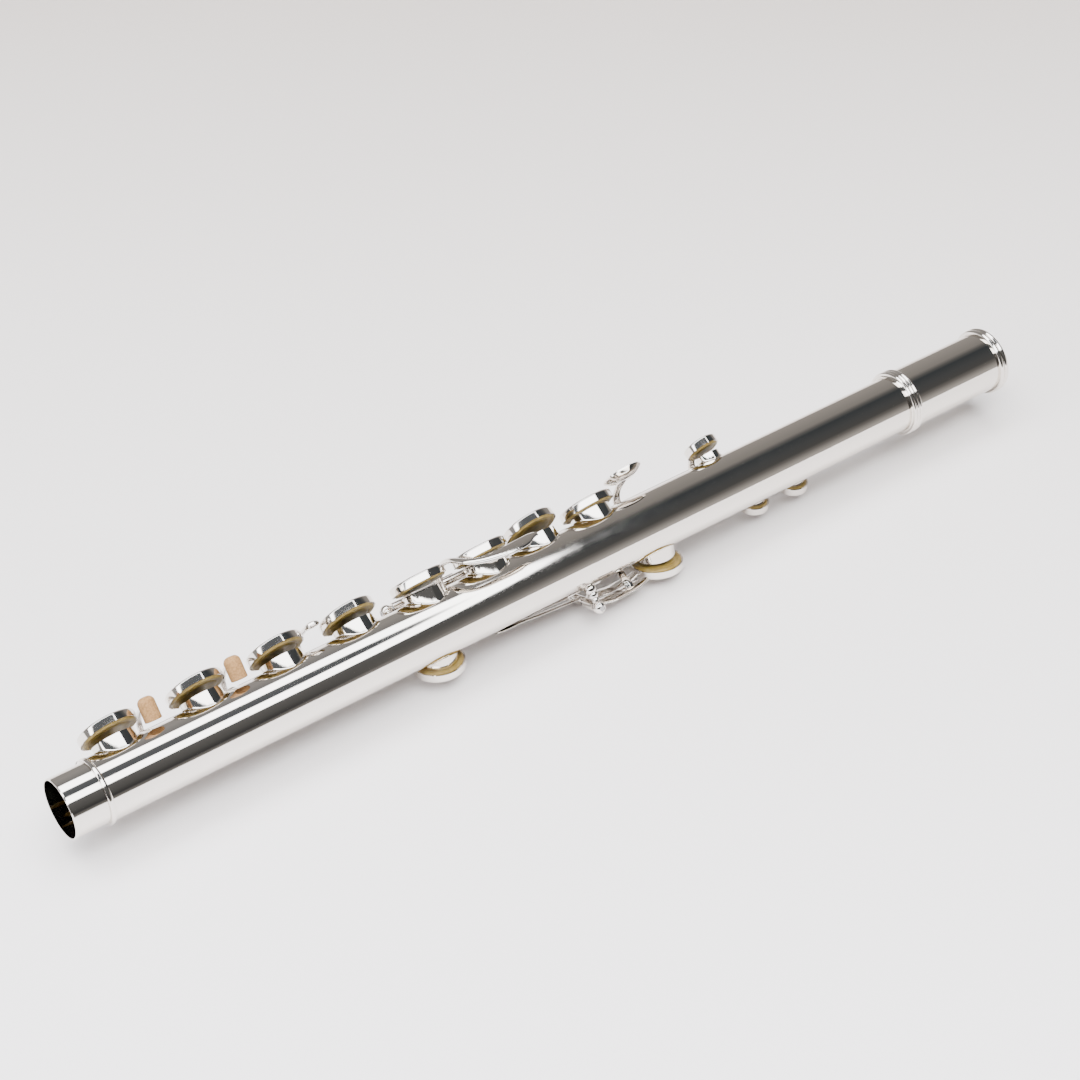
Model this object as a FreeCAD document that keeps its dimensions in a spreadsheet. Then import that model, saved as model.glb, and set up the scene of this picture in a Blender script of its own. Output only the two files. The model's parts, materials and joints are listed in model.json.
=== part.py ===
import FreeCAD, Part
import math
import os
import Sketcher

# Body joint of a concert flute, in millimetres.
# The bore runs along +X from the foot tenon to the barrel; the origin is the centre of the barrel's
# mouth. Stations are given along the tube from the tenon's end. Angles round the tube are counted from
# the line of the main tone holes, positive towards the listener. The whole mechanism is then rolled
# about the bore so that the flute lies as it does on a table.

doc = FreeCAD.newDocument("flute_body")
sheet = doc.addObject("Spreadsheet::Sheet", "Sizes")

SIZES = [
    ("body_length", 368.0),
    ("roll_angle", 55.0),
    ("tube_radius", 9.9),
    ("bore_radius", 9.5),
    ("tube_start", 11.0),
    ("tube_end", 329.0),
    ("solder_gap", 0.01),
    ("tenon_radius", 9.65),
    ("tenon_bore", 9.15),
    ("tenon_end", 16.0),
    ("tenon_ring_start", 11.1),
    ("tenon_ring_width", 1.6),
    ("tenon_ring_radius", 10.6),
    ("barrel_start", 322.8),
    ("barrel_radius", 10.55),
    ("barrel_bore", 10.1),
    ("body_ring_start", 323.1),
    ("body_ring_width", 4.0),
    ("body_ring_radius", 11.55),
    ("end_ring_start", 364.4),
    ("end_ring_width", 3.6),
    ("end_ring_radius", 11.8),
    ("hole_wall", 0.55),
    ("rim_height", 11.9),
    ("hole_flare", 0.8),
    ("main_hole", 6.4),
    ("gsharp_hole", 5.9),
    ("csharp_hole", 3.7),
    ("trill_hole", 3.4),
    ("g_offset", 10.6),
    ("back_angle", -133.0),
    ("thumb_angle", -136.0),
    ("trill_angle", -125.0),
    ("station_d", 23.5),
    ("station_e", 52.8),
    ("station_f", 80.6),
    ("station_fsharp", 106.6),
    ("station_g_lower", 131.8),
    ("station_g_upper", 155.1),
    ("station_a", 176.4),
    ("station_bflat", 198.0),
    ("station_thumb", 216.0),
    ("station_c_touch", 215.6),
    ("station_csharp", 247.5),
    ("station_gsharp", 130.0),
    ("station_gsharp_arm", 143.45),
    ("station_d_trill", 261.0),
    ("station_dsharp_trill", 278.5),
    ("station_dsharp_touch", 35.2),
    ("station_d_touch", 64.3),
    ("station_side_touch", 93.4),
    ("cup_radius", 9.4),
    ("gsharp_cup_radius", 8.6),
    ("thumb_cup_radius", 9.0),
    ("csharp_cup_radius", 6.0),
    ("trill_cup_radius", 5.3),
    ("cup_wall", 0.5),
    ("cup_skirt", 0.55),
    ("cup_height", 3.5),
    ("cup_edge", 0.7),
    ("seat_gap", 0.02),
    ("pad_fit", 0.04),
    ("pad_edge", 0.6),
    ("line_angle", -50.0),
    ("line_radius", 16.2),
    ("side_line_angle", -66.0),
    ("d_line_angle", -79.0),
    ("dsharp_line_angle", -91.0),
    ("rod_line_radius", 15.3),
    ("thumb_hinge_station", 185.0),
    ("thumb_hinge_angle", -146.0),
    ("thumb_hinge_height", 15.4),
    ("thumb_post_reach", 7.75),
    ("thumb_lever_offset", 2.75),
    ("thumb_lever_half", 2.6),
    ("hinge_radius", 1.8),
    ("thumb_hinge_radius", 1.6),
    ("steel_radius", 0.95),
    ("running_gap", 0.04),
    ("rod_radius", 1.1),
    ("pivot_radius", 0.6),
    ("post_head", 2.15),
    ("rod_post_head", 1.75),
    ("post_neck", 0.95),
    ("post_foot", 1.5),
    ("rib_angle", -70.0),
    ("rib_half_width", 2.0),
    ("rib_height", 10.45),
    ("spring_radius", 0.3),
    ("spring_depth", 2.9),
    ("open_right", 6.5),
    ("open_g", 6.3),
    ("open_a", 9.0),
    ("open_c", 7.0),
    ("open_thumb", 3.5),
    ("touch_cork_radius", 2.7),
    ("touch_cork_length", 7.4),
    ("touch_cork_dome", 1.9),
]
for row, (alias, value) in enumerate(SIZES, start=1):
    sheet.set("A%d" % row, alias)
    sheet.set("B%d" % row, str(value))
    sheet.setAlias("B%d" % row, alias)
doc.recompute()

X_AXIS = FreeCAD.Vector(1, 0, 0)
ALONG = "rotation(vector(0; 1; 0); 90)"
UPRIGHT = "rotation(vector(0; 0; 1); 0)"
nodes = []
spots = {}


def size(alias):
    return float(getattr(sheet, alias))


def ref(alias):
    return "Sizes." + alias


def station(where, angle="0"):
    """Placement expression of a point on the bore, turned round it by angle."""
    return "placement(vector(%s - Sizes.body_length; 0; 0); rotation(vector(1; 0; 0); %s))" % (where, angle)


def local(x="0", y="0", z="0", turn=UPRIGHT):
    return "placement(vector(%s; %s; %s); %s)" % (x, y, z, turn)


def place(item, where, offset=None):
    spots[item.Name] = where if offset is None else where + " * " + offset
    item.setExpression("Placement", spots[item.Name])
    return item


def cylinder(radius, height, where, offset=None):
    item = doc.addObject("Part::Cylinder", "Round")
    item.setExpression("Radius", radius)
    item.setExpression("Height", height)
    return place(item, where, offset)


def ball(radius, where, offset=None):
    item = doc.addObject("Part::Sphere", "Ball")
    item.setExpression("Radius", radius)
    return place(item, where, offset)


def cone(foot, top, height, where, offset=None):
    item = doc.addObject("Part::Cone", "Taper")
    item.setExpression("Radius1", foot)
    item.setExpression("Radius2", top)
    item.setExpression("Height", height)
    return place(item, where, offset)


def block(length, width, height, where, offset=None):
    item = doc.addObject("Part::Box", "Block")
    item.setExpression("Length", length)
    item.setExpression("Width", width)
    item.setExpression("Height", height)
    return place(item, where, offset)


def turned(points, where, offset=None):
    """Solid turned from a closed outline of (radius, height) expressions."""
    outline = doc.addObject("Sketcher::SketchObject", "Outline")
    outline.Placement = FreeCAD.Placement(FreeCAD.Vector(), FreeCAD.Rotation(X_AXIS, 90))
    values = [(float(outline.evalExpression(r)), float(outline.evalExpression(h))) for r, h in points]
    count = len(points)
    for i in range(count):
        start = FreeCAD.Vector(values[i][0], values[i][1], 0)
        end = FreeCAD.Vector(values[(i + 1) % count][0], values[(i + 1) % count][1], 0)
        outline.addGeometry(Part.LineSegment(start, end))
    for i in range(count):
        outline.addConstraint(Sketcher.Constraint("Coincident", i, 2, (i + 1) % count, 1))
    for i, pair in enumerate(points):
        for kind, axis, value, expression in (
            ("DistanceX", -2, values[i][0], pair[0]),
            ("DistanceY", -1, values[i][1], pair[1]),
        ):
            if expression == "0":
                outline.addConstraint(Sketcher.Constraint("PointOnObject", i, 1, axis))
            else:
                index = outline.addConstraint(Sketcher.Constraint(kind, -1, 1, i, 1, value))
                outline.setExpression("Constraints[%d]" % index, expression)
    item = doc.addObject("Part::Revolution", "Turned")
    item.Source = outline
    item.Axis = FreeCAD.Vector(0, 0, 1)
    item.Angle = 360
    item.Solid = True
    return place(item, where, offset)


def rounded(item, radius, chosen):
    """Fillet of every edge for which chosen(edge) is true."""
    doc.recompute()
    edges = [i for i, edge in enumerate(item.Shape.Edges, start=1) if chosen(edge)]
    fillet = doc.addObject("Part::Fillet", "Rounded")
    fillet.Base = item
    fillet.Edges = [(i, size(radius), size(radius)) for i in edges]
    return fillet


def fused(items):
    item = doc.addObject("Part::MultiFuse", "Joined")
    item.Shapes = items
    return item


def without(base, tools):
    item = doc.addObject("Part::Cut", "Opened")
    item.Base = base
    item.Tool = tools[0] if len(tools) == 1 else fused(tools)
    return item


def polar(where, angle, radius, lift=0.0):
    """Point in the mechanism's own frame at a station, an angle round the tube and a radius."""
    turn = math.radians(angle)
    along = where - size("body_length")
    return FreeCAD.Vector(along, -radius * math.sin(turn), radius * math.cos(turn) + lift)


def across(where, angle, y, z):
    """Point given across and up from the bore, in the frame of a hole turned round the tube by angle."""
    point = FreeCAD.Rotation(X_AXIS, angle).multVec(FreeCAD.Vector(0, y, z))
    return FreeCAD.Vector(where - size("body_length"), point.y, point.z)


def arm(sections, faces=None):
    """Forged arm lofted through (point, half width, half thickness, direction of the width).

    With faces, a list of directions, each section is turned so that its broad face looks that way.
    """
    wires = []
    points = [section[0] for section in sections]
    for i, (point, half_width, half_thick, *turn) in enumerate(sections):
        before = points[max(i - 1, 0)]
        after = points[min(i + 1, len(points) - 1)]
        tangent = (after - before).normalize()
        side = turn[0] if turn else X_AXIS
        if faces:
            side = tangent.cross(faces[i])
        wide = (side - tangent * side.dot(tangent)).normalize()
        if half_width < half_thick:
            wide = tangent.cross(wide)
            half_width, half_thick = half_thick, half_width
        oval = Part.Ellipse(
            point + wide * half_width,
            point + tangent.cross(wide) * half_thick,
            point,
        )
        wires.append(Part.Wire([oval.toShape()]))
    solid = Part.makeLoft(wires, True, False)
    if solid.Volume < 0:
        solid.reverse()
    item = doc.addObject("Part::Feature", "Arm")
    item.Shape = solid
    return item


def node(item, label, motion=None):
    """Names a finished sub-part and rolls it into the pose in which the flute lies."""
    item.Label = label
    steps = ["placement(vector(0; 0; 0); rotation(vector(1; 0; 0); -Sizes.roll_angle))"]
    if motion:
        steps.append(motion)
    if item.Name in spots:
        steps.append(spots[item.Name])
    place(item, " * ".join(steps))
    nodes.append(item)
    return item


def opened(angle, line_angle, line_radius):
    """Motion from the closed key to its rest, about its hinge line."""
    centre = "vector(0; -%s * sin(%s * 1 deg); %s * cos(%s * 1 deg))" % (
        line_radius, line_angle, line_radius, line_angle)
    return "placement(vector(0; 0; 0); rotation(vector(1; 0; 0); -%s); %s)" % (angle, centre)


# ------------------------------------------------------------------ tube, tenon and barrel

HOLES = [
    ("station_d", "0", "main_hole"),
    ("station_e", "0", "main_hole"),
    ("station_f", "0", "main_hole"),
    ("station_fsharp", "0", "main_hole"),
    ("station_g_lower", "Sizes.g_offset", "main_hole"),
    ("station_g_upper", "Sizes.g_offset", "main_hole"),
    ("station_a", "0", "main_hole"),
    ("station_bflat", "0", "main_hole"),
    ("station_thumb", "Sizes.thumb_angle", "main_hole"),
    ("station_csharp", "0", "csharp_hole"),
    ("station_gsharp", "Sizes.back_angle", "gsharp_hole"),
    ("station_d_trill", "Sizes.trill_angle", "trill_hole"),
    ("station_dsharp_trill", "Sizes.trill_angle", "trill_hole"),
]


def pipe(radius, start, end):
    return cylinder(radius, "(%s) - (%s)" % (end, start), station(start), local(turn=ALONG))


tube_wall = pipe("Sizes.tube_radius", "Sizes.tube_start", "Sizes.tube_end")
chimneys = []
openings = [pipe("Sizes.bore_radius", "Sizes.tube_start - 1", "Sizes.tube_end + 1")]
for where, angle, hole in HOLES:
    chimneys.append(cylinder(
        ref(hole) + " + Sizes.hole_wall", "Sizes.rim_height - 4", station(ref(where), angle), local(z="4")))
    openings.append(cylinder(ref(hole), "Sizes.rim_height", station(ref(where), angle), local(z="2")))
drawn = rounded(
    fused([tube_wall] + chimneys), "hole_flare",
    lambda edge: type(edge.Curve).__name__ == "BSplineCurve" and edge.isClosed())
doc.recompute()
node(without(drawn, openings), "body_tube")


def ring_on(start, bore, radius, width, beads):
    """Turned ring with rounded beads, its outline stepped round each bead."""
    points = [(bore, "0")]
    steps = 8
    for bead in range(beads):
        for step in range(steps + 1):
            if bead and not step:
                continue
            turn = math.pi * step / steps
            along = "%s * %.6f" % (width, (bead + 0.5 - 0.5 * math.cos(turn)) / beads)
            out = "%s - (%s - %s) * %.6f" % (radius, radius, bore, 0.55 - 0.55 * math.sin(turn))
            points.append((out, along if bead or step else "0"))
    points.append((bore, width))
    return turned(points, station(start), local(turn=ALONG))


def sleeve(points, start):
    return turned(points, station(start), local(turn=ALONG))


node(sleeve([
    ("Sizes.tenon_bore", "0"),
    ("Sizes.tenon_radius - 0.25", "0"),
    ("Sizes.tenon_radius", "0.3"),
    ("Sizes.tenon_radius", "Sizes.tube_start - Sizes.solder_gap"),
    ("Sizes.bore_radius - Sizes.solder_gap", "Sizes.tube_start - Sizes.solder_gap"),
    ("Sizes.bore_radius - Sizes.solder_gap", "Sizes.tenon_end"),
    ("Sizes.tenon_bore", "Sizes.tenon_end"),
], "0"), "tenon_sleeve")
node(ring_on("Sizes.tenon_ring_start", "Sizes.tube_radius + Sizes.solder_gap", "Sizes.tenon_ring_radius",
             "Sizes.tenon_ring_width", 1), "tenon_ring")
barrel_length = "Sizes.body_length - Sizes.barrel_start"
seat_depth = "Sizes.tube_end - Sizes.barrel_start + Sizes.solder_gap"
node(sleeve([
    ("Sizes.tube_radius + Sizes.solder_gap", "0"),
    ("Sizes.barrel_radius - 0.3", "0"),
    ("Sizes.barrel_radius", "0.3"),
    ("Sizes.barrel_radius", barrel_length),
    ("Sizes.barrel_bore", barrel_length),
    ("Sizes.barrel_bore", seat_depth),
    ("Sizes.tube_radius + Sizes.solder_gap", seat_depth),
], "Sizes.barrel_start"), "barrel_sleeve")
node(ring_on("Sizes.body_ring_start", "Sizes.barrel_radius + Sizes.solder_gap", "Sizes.body_ring_radius",
             "Sizes.body_ring_width", 3), "barrel_body_ring")
node(ring_on("Sizes.end_ring_start", "Sizes.barrel_radius + Sizes.solder_gap", "Sizes.end_ring_radius",
             "Sizes.end_ring_width", 2), "barrel_end_ring")

# ------------------------------------------------------------------ posts, ribs, steels and springs

MAIN_LINE = ("Sizes.line_angle", "Sizes.line_radius")
G_LINE = ("(Sizes.line_angle + Sizes.g_offset)", "Sizes.line_radius")
SIDE_LINE = ("Sizes.side_line_angle", "Sizes.rod_line_radius")
D_LINE = ("Sizes.d_line_angle", "Sizes.rod_line_radius")
DSHARP_LINE = ("Sizes.dsharp_line_angle", "Sizes.rod_line_radius")

tube_clear = pipe("Sizes.tube_radius + Sizes.solder_gap / 2", "0", "Sizes.body_length")


def post(where, line, head):
    """Turned post: foot disc, tapered stem and ball head."""
    angle, radius = line
    spot = station(str(where), angle)
    return [
        cylinder("Sizes.post_foot + 0.5", "1.3", spot, local(z="Sizes.tube_radius - 0.5")),
        cone("Sizes.post_foot", "Sizes.post_neck", "%s - Sizes.tube_radius" % radius, spot,
             local(z="Sizes.tube_radius")),
        ball(head, spot, local(z=radius)),
    ]


def rod_hole(start, end, line, radius):
    angle, height = line
    return cylinder(radius, "%s - %s" % (end, start), station(str(start), angle), local(z=height, turn=ALONG))


def rib(start, end, angle):
    return block("%s - %s" % (end, start), "2 * Sizes.rib_half_width", "Sizes.rib_height - 8.5",
                 station(str(start), angle), local(y="-Sizes.rib_half_width", z="8.5"))


def spring(post_at, line, direction, reach=15.0):
    """Needle spring pushed through a post below the hinge line."""
    angle, radius = line
    start = post_at - 2.0 if direction > 0 else post_at - reach
    return cylinder("Sizes.spring_radius", str(reach + 2.0), station(str(start), angle),
                    local(z="%s - Sizes.spring_depth" % radius, turn=ALONG))


def spring_hole(post_at, line, direction, reach=15.0):
    angle, radius = line
    start = post_at - 2.1 if direction > 0 else post_at - reach - 0.1
    return cylinder("Sizes.spring_radius + Sizes.solder_gap", str(reach + 2.2), station(str(start), angle),
                    local(z="%s - Sizes.spring_depth" % radius, turn=ALONG))


LOWER_POSTS = (15.0, 67.0, 118.7)
G_POSTS = (123.2, 166.4)
UPPER_POSTS = (170.0, 208.8, 255.5)
SIDE_POSTS = (86.8, 203.2)
D_POSTS = (57.2, 149.0, 268.0)
DSHARP_POSTS = (28.0, 153.5, 285.4)
LOWER_SPRINGS = [(15.0, 1), (67.0, -1), (67.0, 1), (118.7, -1)]
G_SPRINGS = [(166.4, -1)]
UPPER_SPRINGS = [(170.0, 1), (208.8, -1), (208.8, 1)]

steel_fit = "Sizes.steel_radius + Sizes.solder_gap"
rod_fit = "Sizes.rod_radius + Sizes.running_gap"
pivot_fit = "Sizes.pivot_radius + Sizes.solder_gap"


def post_group(label, pieces, holes):
    return node(without(fused(pieces), [tube_clear] + holes), label)


def posts_on(stations, line, head="Sizes.post_head"):
    return [piece for where in stations for piece in post(where, line, head)]


def spring_holes(group, line):
    return [spring_hole(where, line, direction) for where, direction in group]


small_head = "Sizes.rod_post_head"
post_group(
    "lower_rib_posts",
    [rib(13.0, 120.4, "Sizes.rib_angle")] + posts_on(LOWER_POSTS, MAIN_LINE)
    + posts_on(SIDE_POSTS[:1], SIDE_LINE, small_head) + posts_on(D_POSTS[:1], D_LINE, small_head)
    + posts_on(DSHARP_POSTS[:1], DSHARP_LINE, small_head),
    [rod_hole(10, 121, MAIN_LINE, steel_fit), rod_hole(84, 90, SIDE_LINE, pivot_fit),
     rod_hole(54, 60, D_LINE, pivot_fit), rod_hole(25, 31, DSHARP_LINE, pivot_fit)]
    + spring_holes(LOWER_SPRINGS, MAIN_LINE))
post_group(
    "middle_rib_posts",
    [rib(121.4, 167.8, "Sizes.rib_angle + Sizes.g_offset - 2")] + posts_on(G_POSTS, G_LINE)
    + posts_on(D_POSTS[1:2], D_LINE, small_head) + posts_on(DSHARP_POSTS[1:2], DSHARP_LINE, small_head),
    [rod_hole(119, 170, G_LINE, steel_fit), rod_hole(146, 152, D_LINE, rod_fit),
     rod_hole(150, 157, DSHARP_LINE, rod_fit)]
    + spring_holes(G_SPRINGS, G_LINE))
post_group(
    "upper_rib_posts",
    [rib(168.6, 257.0, "Sizes.rib_angle")] + posts_on(UPPER_POSTS, MAIN_LINE)
    + posts_on(SIDE_POSTS[1:], SIDE_LINE, small_head),
    [rod_hole(167, 258, MAIN_LINE, steel_fit), rod_hole(200, 206, SIDE_LINE, pivot_fit)]
    + spring_holes(UPPER_SPRINGS, MAIN_LINE))
post_group(
    "trill_posts",
    posts_on(D_POSTS[2:], D_LINE, small_head) + posts_on(DSHARP_POSTS[2:], DSHARP_LINE, small_head),
    [rod_hole(265, 271, D_LINE, pivot_fit), rod_hole(282, 288, DSHARP_LINE, pivot_fit)])
# The thumb keys turn on a short steel set across the back of the tube, between two tall posts.
THUMB_SPOT = station("Sizes.thumb_hinge_station", "Sizes.thumb_hinge_angle")
ACROSS = "rotation(vector(1; 0; 0); -90)"


def across_back(radius, start, end, height="Sizes.thumb_hinge_height"):
    """Cylinder along the thumb steel, from start to end measured across the tube."""
    return cylinder(radius, "(%s) - (%s)" % (end, start), THUMB_SPOT, local(y=start, z=height, turn=ACROSS))


def thumb_post(side):
    """Tall beaded post standing square on the tube, its head on the thumb steel."""
    reach = side * size("thumb_post_reach")
    turn = math.degrees(math.atan2(reach, size("thumb_hinge_height")))
    head = math.hypot(reach, size("thumb_hinge_height"))
    spot = station("Sizes.thumb_hinge_station", "Sizes.thumb_hinge_angle - (%.6f)" % turn)
    base = size("tube_radius")
    beads = [(0.9, 2.1), (2.9, 1.75), (4.8, 1.25)]
    stem = local(z="Sizes.tube_radius")
    pieces = [cone("Sizes.post_foot", "Sizes.post_neck", "%.4f" % (head - base), spot, stem)]
    pieces += [ball(str(radius), spot, local(z="Sizes.tube_radius + %s" % rise)) for rise, radius in beads]
    pieces.append(ball("Sizes.post_head", spot, local(z="%.4f" % head)))
    return pieces


THUMB_REACH = "Sizes.thumb_post_reach + 2.4"
thumb_rib = rib(178.0, 191.0, "Sizes.thumb_hinge_angle")
post_group(
    "thumb_posts", [thumb_rib] + thumb_post(1) + thumb_post(-1),
    [across_back(steel_fit, "-Sizes.thumb_post_reach - 3", "Sizes.thumb_post_reach + 3")])
thumb_rod = across_back("Sizes.steel_radius", "-Sizes.thumb_post_reach - 1.8", "Sizes.thumb_post_reach + 1.8")
node(thumb_rod, "thumb_steel")


def leaf(angle, breadth):
    """Flat spring soldered to the tube at one end and bearing under a thumb lever at the other."""
    reach = size("thumb_hinge_station")
    base = size("tube_radius")
    path = [(149.6, 0.45), (150.6, 0.5), (156.0, 0.6), (163.0, 1.1), (171.0, 1.7), (178.0, 2.2),
            (reach - 3.0, 2.5)]
    half = [0.5, 0.85, 1.0, 1.0, 0.97, 0.85, 0.7]
    wide = FreeCAD.Rotation(X_AXIS, angle).multVec(FreeCAD.Vector(0, 1, 0))
    return arm([(polar(where, angle, base + rise), breadth * share, 0.36, wide)
                for (where, rise), share in zip(path, half)])


node(without(fused([leaf(-156.5, 2.3), leaf(-136.0, 1.3)]), [tube_clear]), "thumb_springs")


def steel(label, posts, line):
    """Hinge steel with a slotted screw head in the first post."""
    angle, radius = line
    start = posts[0] - 2.0
    end = posts[-1] + 1.6
    rod = cylinder("Sizes.steel_radius", str(end - start), station(str(start), angle),
                   local(z=radius, turn=ALONG))
    slot = block("0.6", "3", "0.35", station(str(start - 0.01), angle),
                 local(y="-1.5", z="%s - 0.175" % radius))
    return node(without(rod, [slot]), label)


steel("lower_steel", LOWER_POSTS, MAIN_LINE)
steel("g_steel", G_POSTS, G_LINE)
steel("upper_steel", UPPER_POSTS, MAIN_LINE)


def pivot(post_at, line, direction):
    """Pivot screw: shank through the post with its point in the rod's end."""
    angle, radius = line
    start = post_at - 2.0 if direction > 0 else post_at - 2.0 - 2.0
    return cylinder("Sizes.pivot_radius", "6.0", station(str(start), angle), local(z=radius, turn=ALONG))


pivots = [
    pivot(SIDE_POSTS[0], SIDE_LINE, 1), pivot(SIDE_POSTS[1], SIDE_LINE, -1),
    pivot(D_POSTS[0], D_LINE, 1), pivot(D_POSTS[2], D_LINE, -1),
    pivot(DSHARP_POSTS[0], DSHARP_LINE, 1), pivot(DSHARP_POSTS[2], DSHARP_LINE, -1),
]
node(fused(pivots), "pivot_screws")
springs = [spring(where, MAIN_LINE, direction) for where, direction in LOWER_SPRINGS + UPPER_SPRINGS]
springs += [spring(where, G_LINE, direction) for where, direction in G_SPRINGS]
node(fused(springs), "needle_springs")

# ------------------------------------------------------------------ key cups, pads and hinge tubes


def cup(radius, spot):
    """Pressed cup with a rounded shoulder and a slightly dished top, open towards the tube."""
    shell = turned([
        ("0", "Sizes.cup_height - 0.75"),
        (radius + " - Sizes.cup_wall", "Sizes.cup_height - 0.75"),
        (radius + " - Sizes.cup_wall", "Sizes.cup_skirt"),
        (radius, "Sizes.cup_skirt"),
        (radius, "Sizes.cup_height - 0.25"),
        (radius + " * 0.72", "Sizes.cup_height"),
        ("0", "Sizes.cup_height - 0.15"),
    ], spot, local(z="Sizes.rim_height"))
    outer = float(shell.evalExpression(radius))
    limit = size("cup_height") - 0.4
    return rounded(shell, "cup_edge", lambda edge: is_rim(edge, outer, shell, limit))


def pocket(radius, spot):
    """Seat of the pad, kept clear of the arm that is joined to the cup."""
    return cylinder(radius + " - Sizes.cup_wall", "Sizes.cup_height - 0.75", spot,
                    local(z="Sizes.rim_height"))


def is_rim(edge, outer, shell, limit):
    if type(edge.Curve).__name__ != "Circle" or abs(edge.Curve.Radius - outer) > 1e-4:
        return False
    inside = shell.Placement.inverse().multVec(edge.Curve.Center)
    return inside.z > limit


def pad(label, radius, spot, motion):
    """Pad: a felt disc in a skin, rounded where it bulges from the cup."""
    disc = cylinder(radius + " - Sizes.cup_wall - Sizes.pad_fit",
                    "Sizes.cup_height - 0.75 - Sizes.seat_gap - Sizes.solder_gap", spot,
                    local(z="Sizes.rim_height + Sizes.seat_gap"))
    soft = rounded(disc, "pad_edge", lambda edge: type(edge.Curve).__name__ == "Circle" and
                   disc.Placement.inverse().multVec(edge.Curve.Center).z < 1.0)
    return node(soft, label, motion)


def hinge_tube(start, end, line, radius="Sizes.hinge_radius"):
    angle, height = line
    return cylinder(radius, str(end - start), station(str(start), angle), local(z=height, turn=ALONG))


def hinge_bore(start, end, line):
    return rod_hole(start - 0.1, end + 0.1, line, "Sizes.steel_radius + Sizes.running_gap")


def cup_arm(where, angle, cup_radius, line_angle, line_radius):
    """Y arm from the hinge tube to the side of a cup."""
    hinge = polar(0, line_angle - angle, line_radius)
    y, z = hinge.y, hinge.z
    rim = size("rim_height")
    return arm([
        (across(where, angle, y + 0.2, z - 0.4), 1.7, 0.9),
        (across(where, angle, y - 0.5, z + 1.6), 1.6, 0.85),
        (across(where, angle, (y + cup_radius) / 2 - 0.1, rim + 1.5), 1.9, 0.75),
        (across(where, angle, cup_radius - 0.43, rim + 2.0), 2.5, 0.7),
    ])


def line_values(line):
    return float(sheet.evalExpression(line[0].replace("Sizes.", ""))), \
        float(sheet.evalExpression(line[1].replace("Sizes.", "")))


def main_key(label, where, angle, cup_radius, line, tube_span, motion, extra=()):
    spot = station(ref(where), angle)
    line_angle, line_radius = line_values(line)
    hole_angle = float(sheet.evalExpression(angle.replace("Sizes.", "")))
    pieces = [
        cup(ref(cup_radius), spot),
        cup_arm(size(where), hole_angle, size(cup_radius), line_angle, line_radius),
        hinge_tube(tube_span[0], tube_span[1], line),
    ]
    body = without(fused(pieces + list(extra)),
                   [hinge_bore(tube_span[0], tube_span[1], line), pocket(ref(cup_radius), spot)])
    return node(body, label, motion)


right_open = opened("Sizes.open_right", *MAIN_LINE)
RIGHT_KEYS = [
    ("d", (17.25, 37.9)),
    ("e", (38.0, 64.75)),
    ("f", (69.25, 93.4)),
    ("fsharp", (93.5, 116.45)),
]
for name, span in RIGHT_KEYS:
    main_key(name + "_key", "station_" + name, "0", "cup_radius", MAIN_LINE, span, right_open)
    pad(name + "_pad", "Sizes.cup_radius", station(ref("station_" + name), "0"), right_open)

a_open = opened("Sizes.open_a", *MAIN_LINE)
main_key("a_key", "station_a", "0", "cup_radius", MAIN_LINE, (172.25, 187.1), a_open)
pad("a_pad", "Sizes.cup_radius", station(ref("station_a"), "0"), a_open)

hinge = polar(0, size("line_angle"), size("line_radius"))
tail = arm([
    (across(203.5, 0, hinge.y, hinge.z), 1.3, 1.0),
    (across(203.5, 0, hinge.y + 2.6, hinge.z + 0.4), 1.3, 0.8),
    (across(203.5, 0, hinge.y + 5.4, hinge.z + 0.2), 1.1, 0.7),
])
main_key("bflat_key", "station_bflat", "0", "cup_radius", MAIN_LINE, (187.2, 206.55), None, [tail])
pad("bflat_pad", "Sizes.cup_radius", station(ref("station_bflat"), "0"), None)

# The two G keys share one hinge tube line; a bridge bar carries it past the G sharp lever.
g_open = opened("Sizes.open_g", *G_LINE)
g_angle = size("g_offset")
g_hinge = polar(0, size("line_angle"), size("line_radius"))
bridge_y = g_hinge.y + 2.9
bridge_z = g_hinge.z + 1.5
bridge = [
    arm([
        (across(136.9, g_angle, g_hinge.y, g_hinge.z), 1.2, 1.0),
        (across(136.9, g_angle, bridge_y, bridge_z), 1.0, 0.9),
    ]),
    arm([
        (across(149.5, g_angle, g_hinge.y, g_hinge.z), 1.2, 1.0),
        (across(149.5, g_angle, bridge_y, bridge_z), 1.0, 0.9),
    ]),
    cylinder("0.95", "14.6", station("135.9", "Sizes.g_offset"),
             local(y=str(bridge_y), z=str(bridge_z), turn=ALONG)),
]
g_pieces = list(bridge)
g_bores = []
for where, span in (("station_g_lower", (125.45, 139.4)), ("station_g_upper", (147.5, 164.15))):
    g_pieces.append(cup("Sizes.cup_radius", station(ref(where), "Sizes.g_offset")))
    g_pieces.append(cup_arm(size(where), g_angle, size("cup_radius"), size("line_angle") + g_angle,
                            size("line_radius")))
    g_pieces.append(hinge_tube(span[0], span[1], G_LINE))
    g_bores.append(hinge_bore(span[0], span[1], G_LINE))
    g_bores.append(pocket("Sizes.cup_radius", station(ref(where), "Sizes.g_offset")))
    pad(where.replace("station_", "") + "_pad", "Sizes.cup_radius", station(ref(where), "Sizes.g_offset"),
        g_open)
node(without(fused(g_pieces), g_bores), "g_keys", g_open)

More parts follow.
